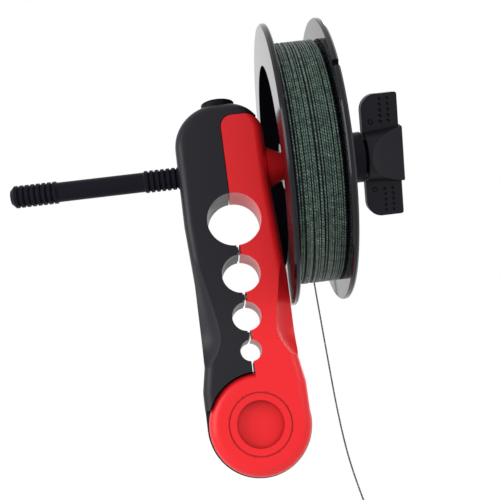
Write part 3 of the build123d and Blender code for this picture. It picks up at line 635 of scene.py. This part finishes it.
def tube_mesh(name, paths, radius, sides=10):
    """Closed round tubes along lists of points; a path whose ends meet is a ring."""
    form = bmesh.new()
    along_layer = form.verts.layers.float.new("along")
    around_layer = form.verts.layers.float.new("around")
    for points in paths:
        points = [Vector(p) for p in points]
        ring_path = (points[0] - points[-1]).length < MERGE_WITHIN
        if ring_path:
            points = points[:-1]
        count = len(points)
        rings = []
        normal = None
        length = 0.0
        for index, point in enumerate(points):
            if ring_path:
                ahead = points[(index + 1) % count] - points[index - 1]
            else:
                ahead = points[min(index + 1, count - 1)] - points[max(index - 1, 0)]
            ahead.normalize()
            if normal is None:
                normal = ahead.orthogonal().normalized()
            normal = (normal - ahead * normal.dot(ahead)).normalized()
            side = ahead.cross(normal)
            if index:
                length += (point - points[index - 1]).length
            ring = []
            for step in range(sides):
                turn = 2 * math.pi * step / sides
                out = normal * math.cos(turn) + side * math.sin(turn)
                vert = form.verts.new(point + radius * out)
                vert[along_layer] = length
                vert[around_layer] = abs(2 * step / sides - 1)
                ring.append(vert)
            rings.append(ring)
        pairs = list(zip(rings, rings[1:]))
        if ring_path:
            pairs.append((rings[-1], rings[0]))
        for first, second in pairs:
            for step in range(sides):
                after = (step + 1) % sides
                form.faces.new((first[step], first[after], second[after], second[step]))
        if not ring_path:
            form.faces.new(list(reversed(rings[0])))
            form.faces.new(rings[-1])
    bmesh.ops.recalc_face_normals(form, faces=form.faces)
    for face in form.faces:
        face.smooth = len(face.verts) == 4
    return mesh_from(form, name)


def lathe_mesh(name, profile, segments=160):
    """Closed ring turned about the spindle's axis from (x, radius) corners."""
    form = bmesh.new()
    rings = []
    for step in range(segments):
        turn = 2 * math.pi * step / segments
        across, up = math.sin(turn), math.cos(turn)
        rings.append([form.verts.new((x, r * across, AXIS_UP + r * up)) for x, r in profile])
    for index, ring in enumerate(rings):
        following = rings[(index + 1) % segments]
        for step in range(len(profile)):
            after = (step + 1) % len(profile)
            form.faces.new((ring[step], following[step], following[after], ring[after]))
    bmesh.ops.recalc_face_normals(form, faces=form.faces)
    for face in form.faces:
        face.smooth = True
    return mesh_from(form, name)


def run_tree(name, tree, base, values):
    """Runs a geometry tree on a mesh and returns the result as a plain mesh."""
    holder = bpy.data.objects.new(name + "_maker", base)
    bpy.context.scene.collection.objects.link(holder)
    modifier = holder.modifiers.new("Make", "NODES")
    modifier.node_group = tree
    identifiers = {
        item.name: item.identifier
        for item in tree.interface.items_tree
        if item.item_type == "SOCKET" and item.in_out == "INPUT"
    }
    for label, value in values.items():
        modifier[identifiers[label]] = value
    shown = holder.evaluated_get(bpy.context.evaluated_depsgraph_get())
    mesh = bpy.data.meshes.new_from_object(shown)
    mesh.name = name
    holder.modifiers.clear()
    bpy.data.objects.remove(holder)
    if not mesh.polygons:
        raise RuntimeError(name + " came out empty")
    return mesh


def geometry_tree(name, inputs):
    """Geometry tree with named inputs; returns it and its two end nodes."""
    tree = bpy.data.node_groups.new(name, "GeometryNodeTree")
    tree.interface.new_socket("Geometry", in_out="INPUT", socket_type="NodeSocketGeometry")
    for label, kind, default in inputs:
        socket = tree.interface.new_socket(label, in_out="INPUT", socket_type=kind)
        if default is not None:
            socket.default_value = default
    tree.interface.new_socket("Geometry", in_out="OUTPUT", socket_type="NodeSocketGeometry")
    return tree, add(tree, "NodeGroupInput"), add(tree, "NodeGroupOutput")


def end_tree(tree, geometry, start, end):
    """Ends a geometry tree in real geometry with its material."""
    real = add(tree, "GeometryNodeRealizeInstances")
    dress = add(tree, "GeometryNodeSetMaterial")
    join(tree, geometry, real.inputs["Geometry"])
    join(tree, real.outputs[0], dress.inputs["Geometry"])
    join(tree, start.outputs["Material"], dress.inputs["Material"])
    join(tree, dress.outputs[0], end.inputs[0])


def stored(tree, geometry, label, value):
    """Geometry with a number kept on each of its points."""
    node = add(tree, "GeometryNodeStoreNamedAttribute", data_type="FLOAT", domain="POINT")
    node.inputs["Name"].default_value = label
    join(tree, geometry, node.inputs["Geometry"])
    join(tree, value, node.inputs["Value"])
    return node.outputs[0]


def line_profile(tree, start):
    """Round section of the line, with the way round stored on it."""
    circle = add(tree, "GeometryNodeCurvePrimitiveCircle")
    circle.inputs["Resolution"].default_value = 6
    join(tree, start.outputs["Line Radius"], circle.inputs["Radius"])
    share = add(tree, "GeometryNodeSplineParameter").outputs["Factor"]
    folded = math_node(tree, "ABSOLUTE", math_node(tree, "MULTIPLY_ADD", share, 2.0, -1.0))
    return stored(tree, circle.outputs["Curve"], "around", folded)


def wound_layer(tree, start, turns, first, last, sink, seed_shift):
    """Curve of one layer of turns that stray sideways and rise and sink a little."""
    noise_per_turn = 1.9
    stray_gain = 3.2
    sink_scale, sink_share = 2.3, 0.7
    drift_scale, drift_length = 0.31, 0.05
    sizes = start.outputs
    line = add(tree, "GeometryNodeCurvePrimitiveLine")
    dense = add(tree, "GeometryNodeResampleCurve")
    join(tree, line.outputs[0], dense.inputs["Curve"])
    points = math_node(tree, "MULTIPLY", sizes[turns], sizes["Points Per Turn"])
    join(tree, points, dense.inputs["Count"])

    share = add(tree, "GeometryNodeSplineParameter").outputs["Factor"]
    turned = math_node(tree, "MULTIPLY", share, sizes[turns])
    angle = math_node(tree, "MULTIPLY", turned, 2 * math.pi)
    seed = math_node(tree, "ADD", sizes["Seed"], seed_shift)
    where = vector_of(tree, math_node(tree, "MULTIPLY", turned, noise_per_turn), seed)

    stray = math_node(tree, "MULTIPLY_ADD", noise(tree, where, 1.0, detail=1.5), 2.0, -1.0)
    reach = math_node(tree, "MULTIPLY", sizes["Wander"], stray_gain)
    sideways = math_node(tree, "MULTIPLY", stray, reach)
    spread = math_node(tree, "SUBTRACT", sizes[last], sizes[first])
    place = math_node(tree, "MULTIPLY_ADD", share, spread, sizes[first])
    place = math_node(tree, "ADD", place, sideways)
    place = math_node(tree, "MAXIMUM", place, sizes["From X"])
    place = math_node(tree, "MINIMUM", place, sizes["To X"])

    lower = math_node(tree, "MULTIPLY_ADD", noise(tree, where, sink_scale), -sink_share, sink)
    radius = math_node(tree, "MULTIPLY_ADD", lower, sizes["Line Radius"], sizes["Radius"])
    across = math_node(tree, "MULTIPLY", radius, math_node(tree, "SINE", angle))
    rise = math_node(tree, "MULTIPLY", radius, math_node(tree, "COSINE", angle))
    spot = vector_of(tree, place, across, math_node(tree, "ADD", rise, sizes["Axis Height"]))
    move = add(tree, "GeometryNodeSetPosition")
    join(tree, dense.outputs[0], move.inputs["Geometry"])
    join(tree, spot, move.inputs["Position"])

    length = add(tree, "GeometryNodeSplineParameter").outputs["Length"]
    drift = math_node(tree, "MULTIPLY_ADD", noise(tree, where, drift_scale), drift_length, length)
    return stored(tree, move.outputs[0], "along", drift)


def wound_line_tree():
    """Two layers of turns round the spindle's axis, from one flange to the other and back."""
    tree, start, end = geometry_tree("Wound line", [
        ("Radius", "NodeSocketFloat", 0.0513),
        ("Line Radius", "NodeSocketFloat", 0.0004),
        ("From X", "NodeSocketFloat", 0.0227),
        ("To X", "NodeSocketFloat", 0.0413),
        ("Axis Height", "NodeSocketFloat", AXIS_UP),
        ("Turns", "NodeSocketInt", 25),
        ("Top Turns", "NodeSocketInt", 21),
        ("Points Per Turn", "NodeSocketInt", 72),
        ("Wander", "NodeSocketFloat", 0.00042),
        ("Seed", "NodeSocketInt", 7),
        ("Material", "NodeSocketMaterial", None),
    ])
    profile = line_profile(tree, start)
    together = add(tree, "GeometryNodeJoinGeometry")
    layers = (("Turns", "From X", "To X", -1.5, 0.0), ("Top Turns", "To X", "From X", 0.0, 31.0))
    for layer in layers:
        tube = add(tree, "GeometryNodeCurveToMesh")
        tube.inputs["Fill Caps"].default_value = True
        join(tree, wound_layer(tree, start, *layer), tube.inputs["Curve"])
        join(tree, profile, tube.inputs["Profile Curve"])
        join(tree, tube.outputs[0], together.inputs[0])
    smooth = add(tree, "GeometryNodeSetShadeSmooth")
    join(tree, together.outputs[0], smooth.inputs["Geometry"])
    end_tree(tree, smooth.outputs[0], start, end)
    return tree


def screw_head_tree():
    """Countersunk heads with a cross recess, one on each point of the base mesh."""
    tree, start, end = geometry_tree("Screw heads", [
        ("Head Radius", "NodeSocketFloat", 0.0025),
        ("Shank Radius", "NodeSocketFloat", 0.00125),
        ("Head Depth", "NodeSocketFloat", HEAD_DEPTH),
        ("Recess Width", "NodeSocketFloat", 0.0007),
        ("Recess Length", "NodeSocketFloat", 0.0030),
        ("Recess Depth", "NodeSocketFloat", 0.0014),
        ("Material", "NodeSocketMaterial", None),
    ])
    head = add(tree, "GeometryNodeMeshCone")
    head.inputs["Vertices"].default_value = 40
    join(tree, start.outputs["Head Radius"], head.inputs["Radius Top"])
    join(tree, start.outputs["Shank Radius"], head.inputs["Radius Bottom"])
    join(tree, start.outputs["Head Depth"], head.inputs["Depth"])
    cut = add(tree, "GeometryNodeMeshBoolean", operation="DIFFERENCE")
    join(tree, head.outputs["Mesh"], cut.inputs["Mesh 1"])
    lift = vector_of(tree, 0.0, 0.0, start.outputs["Head Depth"])
    sides = [start.outputs["Recess Length"], start.outputs["Recess Width"]]
    for length, width in (sides, sides[::-1]):
        arm = add(tree, "GeometryNodeMeshCube")
        join(tree, vector_of(tree, length, width, start.outputs["Recess Depth"]), arm.inputs["Size"])
        raise_arm = add(tree, "GeometryNodeTransform")
        join(tree, arm.outputs["Mesh"], raise_arm.inputs["Geometry"])
        join(tree, lift, raise_arm.inputs["Translation"])
        join(tree, raise_arm.outputs[0], cut.inputs["Mesh 2"])
    spread = add(tree, "GeometryNodeInstanceOnPoints")
    join(tree, start.outputs["Geometry"], spread.inputs["Points"])
    join(tree, cut.outputs["Mesh"], spread.inputs["Instance"])
    spread.inputs["Rotation"].default_value = (-math.pi / 2, 0, 0)
    end_tree(tree, spread.outputs[0], start, end)
    return tree


# ---------------------------------------------------------------- operators
class WINDER_OT_red_mouldings(bpy.types.Operator):
    """Finish the red jaw, its rear cover and the cone that carries the spool"""

    bl_idname = "winder.red_mouldings"
    bl_label = "Red Mouldings"

    def execute(self, context):
        settings = context.scene.winder_plastics
        paint(["red_jaw", "red_rear_cover", "spool_cone"], red_plastic(settings))
        return {"FINISHED"}


class WINDER_OT_black_mouldings(bpy.types.Operator):
    """Finish the black jaw, its covers, the button, the spindle and the collar"""

    bl_idname = "winder.black_mouldings"
    bl_label = "Black Mouldings"

    def execute(self, context):
        settings = context.scene.winder_plastics
        jaw = plastic(
            "black_moulding", settings.black, roughness=0.40, cloud=0.25, grain_scale=2300.0,
            grain_height=settings.grain, specular=0.23)[0]
        paint(["black_jaw", "black_rear_cover", "pivot_cap"], jaw)
        turned = plastic(
            "turned_black", settings.black, roughness=0.34, cloud=0.2, grain_scale=3000.0,
            grain_height=settings.grain * 0.6, specular=0.05)[0]
        paint(["top_button", "spindle", "pressure_collar"], turned)
        paint(["wing_knob"], knob_plastic(settings))
        return {"FINISHED"}


class WINDER_OT_spool(bpy.types.Operator):
    """Finish both halves of the glossy spool"""

    bl_idname = "winder.spool"
    bl_label = "Spool"

    def execute(self, context):
        settings = context.scene.winder_plastics
        gloss = plastic(
            "spool_gloss", settings.spool, roughness=0.10, cloud=0.2, grain_scale=900.0,
            grain_height=settings.grain * 0.15, smudge=0.05, specular=0.22, coat=0.08)[0]
        paint(["spool_left_half", "spool_right_half"], gloss)
        return {"FINISHED"}


class WINDER_OT_inner_metal(bpy.types.Operator):
    """Finish the steel pieces, the button's spring and the drag washer"""

    bl_idname = "winder.inner_metal"
    bl_label = "Steel and Rubber"

    def execute(self, context):
        metal = steel()
        paint(["pivot_post", "pivot_washer", "pivot_screw", "catch_plate", "knob_pin"], metal)
        spring_mesh = mesh_from(merged_form(NODES["button_spring"]), "button_spring_coil")
        coil = finished("button_spring_coil", spring_mesh, metal, "black_jaw")
        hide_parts("button_spring")
        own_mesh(coil)
        paint(["drag_washer"], rubber())
        return {"FINISHED"}


class WINDER_OT_cover_screws(bpy.types.Operator):
    """Make the screws of the two rear covers"""

    bl_idname = "winder.cover_screws"
    bl_label = "Cover Screws"

    def execute(self, context):
        metal = bpy.data.materials["plated_steel"]
        tree = screw_head_tree()
        for node, body in (("red_cover_screws", "red_jaw"), ("black_cover_screws", "black_jaw")):
            heads_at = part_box(node)[1][1] - HEAD_DEPTH
            base = bpy.data.meshes.new(node + "_places")
            base.from_pydata(screw_places(NODES[node], heads_at), [], [])
            mesh = run_tree(node + "_heads", tree, base, {"Material": metal})
            piece = finished(node + "_heads", mesh, metal, body)
            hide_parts(node)
        return {"FINISHED"}


def screw_places(node, depth):
    """Middle of each loose solid of a node, at one depth."""
    form = merged_form(node)
    unseen = set(form.verts)
    places = []
    while unseen:
        stack = [unseen.pop()]
        island = []
        while stack:
            vert = stack.pop()
            island.append(vert.co)
            for edge in vert.link_edges:
                other = edge.other_vert(vert)
                if other in unseen:
                    unseen.remove(other)
                    stack.append(other)
        xs = [c.x for c in island]
        zs = [c.z for c in island]
        places.append(((min(xs) + max(xs)) / 2, depth, (min(zs) + max(zs)) / 2))
    form.free()
    return places


class WINDER_OT_wound_line(bpy.types.Operator):
    """Wind the braided line on the spool"""

    bl_idname = "winder.wound_line"
    bl_label = "Wound Line"

    def execute(self, context):
        settings = context.scene.winder_line
        low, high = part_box("line_pack")
        depth = wound_gap_shade(settings)
        braid = braid_material("wound_braid", settings, *way_stored(), depth)
        radius = settings.pack_radius - settings.line_radius
        edge = settings.line_radius * 1.1
        values = {
            "Radius": radius, "Line Radius": settings.line_radius,
            "From X": low[0] + edge, "To X": high[0] - edge, "Axis Height": AXIS_UP,
            "Turns": settings.turns, "Top Turns": settings.cross_turns,
            "Wander": settings.wander, "Seed": settings.seed, "Material": braid,
        }
        mesh = run_tree("wound_line", wound_line_tree(), bpy.data.meshes.new("empty"), values)
        turns = finished("wound_line", mesh, braid, "spool")
        core_radius = radius - settings.line_radius * 1.9
        left, right = low[0], high[0]
        profile = [(left, HUB_RADIUS), (left, core_radius), (right, core_radius), (right, HUB_RADIUS)]
        core_mesh = lathe_mesh("line_core", profile)
        core_braid = braid_material("core_braid", settings, height_socket, side_socket, depth)
        core = finished("line_core", core_mesh, core_braid, "spool")
        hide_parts("line_pack")
        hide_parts("line_pack")
        return {"FINISHED"}


class WINDER_OT_free_line(bpy.types.Operator):
    """Hang the free end of the line, with its lead off the spool, its knot and its loop"""

    bl_idname = "winder.free_line"
    bl_label = "Free Line"

    def execute(self, context):
        settings = context.scene.winder_line
        hanging = braid_material("hanging_braid", settings, height_socket, side_socket)
        curve = bpy.data.curves.new("free_line", "CURVE")
        curve.dimensions = "3D"
        spline = curve.splines.new("NURBS")
        spline.points.add(len(LINE_ROUTE) - 1)
        for point, place in zip(spline.points, LINE_ROUTE):
            point.co = (*place, 1)
        spline.order_u = 3
        spline.use_endpoint_u = True
        spline.resolution_u = 24
        curve.bevel_depth = settings.line_radius
        curve.bevel_resolution = 3
        curve.use_fill_caps = True
        line = finished("free_line_braid", curve, hanging, "red_jaw")
        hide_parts("free_line")

        knotted = braid_material("knot_braid", settings, *way_stored())
        loop_mesh = knot_mesh(settings.line_radius)
        loop = finished("line_knot_and_loop", loop_mesh, knotted, "red_jaw")
        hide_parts("line_loop")
        lead_mesh = tube_mesh("line_lead", [lead_path(settings)], settings.line_radius)
        finished("line_lead", lead_mesh, knotted, "red_jaw")
        return {"FINISHED"}


def lead_path(settings):
    """Stretch that comes up between the turns and lies on them until it leaves the spool."""
    steps = 24
    dip_steps = 3
    path = []
    for step in range(steps + 1):
        turn = LEAD_ANGLE * (1 - step / steps)
        dip = 2.2 * max(0, 1 - step / dip_steps) ** 2
        lift = 1.15 - dip + 0.45 * (step / steps) ** 2
        radius = settings.pack_radius + settings.line_radius * lift
        path.append((LINE_ROUTE[0][0], radius * math.cos(turn), AXIS_UP + radius * math.sin(turn)))
    return path


def knot_mesh(line_radius):
    """Barrel of close turns and a drawn-in loop below the hanging line."""
    end = Vector(LINE_ROUTE[-1])
    along = (end - Vector(LINE_ROUTE[-2])).normalized()
    back = Vector((0, 1, 0))
    back = (back - along * along.dot(back)).normalized()
    side = along.cross(back)

    barrel = []
    barrel_turns = 4
    barrel_length = 0.0026
    barrel_radius = 0.00058
    sides = 16
    for step in range(barrel_turns * sides + 1):
        turn = 2 * math.pi * step / sides
        way = line_radius * 1.1 + barrel_length * step / (barrel_turns * sides)
        out = (side * math.cos(turn) + back * math.sin(turn)) * barrel_radius
        barrel.append(end + along * way + out)

    core_up, core_down = 0.0004, 0.0034
    core = [end - along * core_up, end + along * core_down]

    loop = []
    loop_top = 0.0030
    loop_length = 0.0070
    loop_width = 0.0030
    steps = 40
    for step in range(steps + 1):
        turn = 2 * math.pi * step / steps
        pull = math.sin(turn / 2) ** 0.85
        down = loop_top + loop_length * (1 - math.cos(turn)) / 2
        loop.append(end + along * down + side * (loop_width * math.sin(turn) * pull))
    loop[-1] = loop[0]
    return tube_mesh("line_knot_and_loop", [barrel, core, loop], line_radius)


class WINDER_OT_stage(bpy.types.Operator):
    """Set the floor, the lamps, the white surroundings and the camera"""

    bl_idname = "winder.stage"
    bl_label = "Stage"

    def execute(self, context):
        settings = context.scene.winder_stage
        scene = context.scene
        scene.view_settings.view_transform = "Standard"
        floor_stage(settings.floor_height)
        surroundings(scene, settings.back_light)
        lamp("key", (-0.62, -0.38, 0.10), (0.0, 0.0, -0.01), 0.55, settings.key_power)
        lamp("fill", (0.48, -0.45, 0.22), (0.0, 0.0, 0.0), 0.40, settings.fill_power)
        lamp("rear", (0.45, 0.55, 0.25), (0.0, 0.0, 0.0), 0.50, settings.rear_power)
        data = bpy.data.cameras.new("camera")
        data.sensor_width = 36
        data.lens = CAMERA_LENS
        data.clip_start = 0.01
        camera = bpy.data.objects.new("camera", data)
        scene.collection.objects.link(camera)
        camera.matrix_world = Matrix(CAMERA_PLACE)
        scene.camera = camera
        return {"FINISHED"}


def background_rays(tree):
    """1 for the rays that are shown the white background: camera, glossy and transmission."""
    path = add(tree, "ShaderNodeLightPath")
    seen = math_node(tree, "MAXIMUM", path.outputs["Is Camera Ray"], path.outputs["Is Glossy Ray"])
    return math_node(tree, "MAXIMUM", seen, path.outputs["Is Transmission Ray"])


def mix_in_white(tree, share, usual, white, output):
    """Surface that shows its white shader by a share and its usual one otherwise."""
    mix = add(tree, "ShaderNodeMixShader")
    join(tree, share, mix.inputs[0])
    join(tree, usual.outputs[0], mix.inputs[1])
    join(tree, white.outputs[0], mix.inputs[2])
    join(tree, mix.outputs[0], output.inputs["Surface"])


def floor_stage(height):
    """Large pale floor that looks white from afar and keeps soft shadows near the object."""
    material, tree, shader = blank_material("floor")
    shader.inputs["Base Color"].default_value = (0.70, 0.70, 0.70, 1)
    shader.inputs["Roughness"].default_value = 0.9
    output = next(n for n in tree.nodes if n.type == "OUTPUT_MATERIAL")
    white = add(tree, "ShaderNodeEmission")
    fade = ramp_node(tree, length_of(tree, object_vector(tree)), 0.45, 1.3, 0.72, 1.0)
    share = math_node(tree, "MULTIPLY", background_rays(tree), fade)
    mix_in_white(tree, share, shader, white, output)
    half = 4.0  # of the floor's side, in metres
    corners = [(x * half, y * half, height) for x, y in ((-1, -1), (1, -1), (1, 1), (-1, 1))]
    mesh = bpy.data.meshes.new("floor")
    mesh.from_pydata(corners, [], [(0, 1, 2, 3)])
    mesh.materials.append(material)
    floor = bpy.data.objects.new("floor", mesh)
    bpy.context.scene.collection.objects.link(floor)


def surroundings(scene, back_light):
    """White to the eye and in reflections; as light, a dim room with a bright part behind."""
    world = bpy.data.worlds.new("surroundings")
    scene.world = world
    world.use_nodes = True
    tree = world.node_tree
    tree.nodes.clear()
    way = parts_of(tree, add(tree, "ShaderNodeTexCoord").outputs["Generated"])
    behind = ramp_node(tree, way["Y"], -0.2, 0.8)
    above = ramp_node(tree, way["Z"], 0.31, 0.43)
    backdrop = math_node(tree, "MULTIPLY", behind, above)
    diffuse = add(tree, "ShaderNodeLightPath").outputs["Is Diffuse Ray"]
    soft = math_node(tree, "MULTIPLY_ADD", diffuse, SOFT_LIGHT, ROOM_LIGHT)
    room = add(tree, "ShaderNodeBackground")
    join(tree, math_node(tree, "MULTIPLY_ADD", backdrop, back_light, soft), room.inputs["Strength"])
    white = add(tree, "ShaderNodeBackground")
    for background in (room, white):
        background.inputs["Color"].default_value = (1, 1, 1, 1)
    mix_in_white(tree, background_rays(tree), room, white, add(tree, "ShaderNodeOutputWorld"))


def lamp(name, place, target, size, power):
    """Square area lamp that looks at a point."""
    data = bpy.data.lights.new(name, "AREA")
    data.size = size
    data.energy = power
    light = bpy.data.objects.new(name, data)
    bpy.context.scene.collection.objects.link(light)
    light.location = place
    light.rotation_euler = (Vector(target) - Vector(place)).to_track_quat("-Z", "Y").to_euler()


# ---------------------------------------------------------------- panel and registration
ORDER = (
    "red_mouldings", "black_mouldings", "spool", "inner_metal",
    "cover_screws", "wound_line", "free_line", "stage",
)


class WINDER_PT_pieces(bpy.types.Panel):
    """Pieces of the winder and their sizes"""

    bl_idname = "WINDER_PT_pieces"
    bl_label = "Line Winder"
    bl_space_type = "VIEW_3D"
    bl_region_type = "UI"
    bl_category = "Winder"

    def draw(self, context):
        layout = self.layout
        scene = context.scene
        for group in (scene.winder_plastics, scene.winder_line, scene.winder_stage):
            box = layout.box()
            for name in group.bl_rna.properties.keys():
                if name not in ("rna_type", "name"):
                    box.prop(group, name)
        for name in ORDER:
            layout.operator("winder." + name)


CLASSES = (
    WinderPlastics, WinderLine, WinderStage,
    WINDER_OT_red_mouldings, WINDER_OT_black_mouldings, WINDER_OT_spool, WINDER_OT_inner_metal,
    WINDER_OT_cover_screws, WINDER_OT_wound_line, WINDER_OT_free_line, WINDER_OT_stage,
    WINDER_PT_pieces,
)


def register():
    """Adds the settings, operators and panel."""
    for cls in CLASSES:
        bpy.utils.register_class(cls)
    bpy.types.Scene.winder_plastics = bpy.props.PointerProperty(type=WinderPlastics)
    bpy.types.Scene.winder_line = bpy.props.PointerProperty(type=WinderLine)
    bpy.types.Scene.winder_stage = bpy.props.PointerProperty(type=WinderStage)


def unregister():
    """Takes them away again."""
    del bpy.types.Scene.winder_stage
    del bpy.types.Scene.winder_line
    del bpy.types.Scene.winder_plastics
    for cls in reversed(CLASSES):
        bpy.utils.unregister_class(cls)


def main():
    """Builds every piece in order."""
    register()
    for name in ORDER:
        getattr(bpy.ops.winder, name)()


if __name__ == "__main__":
    main()
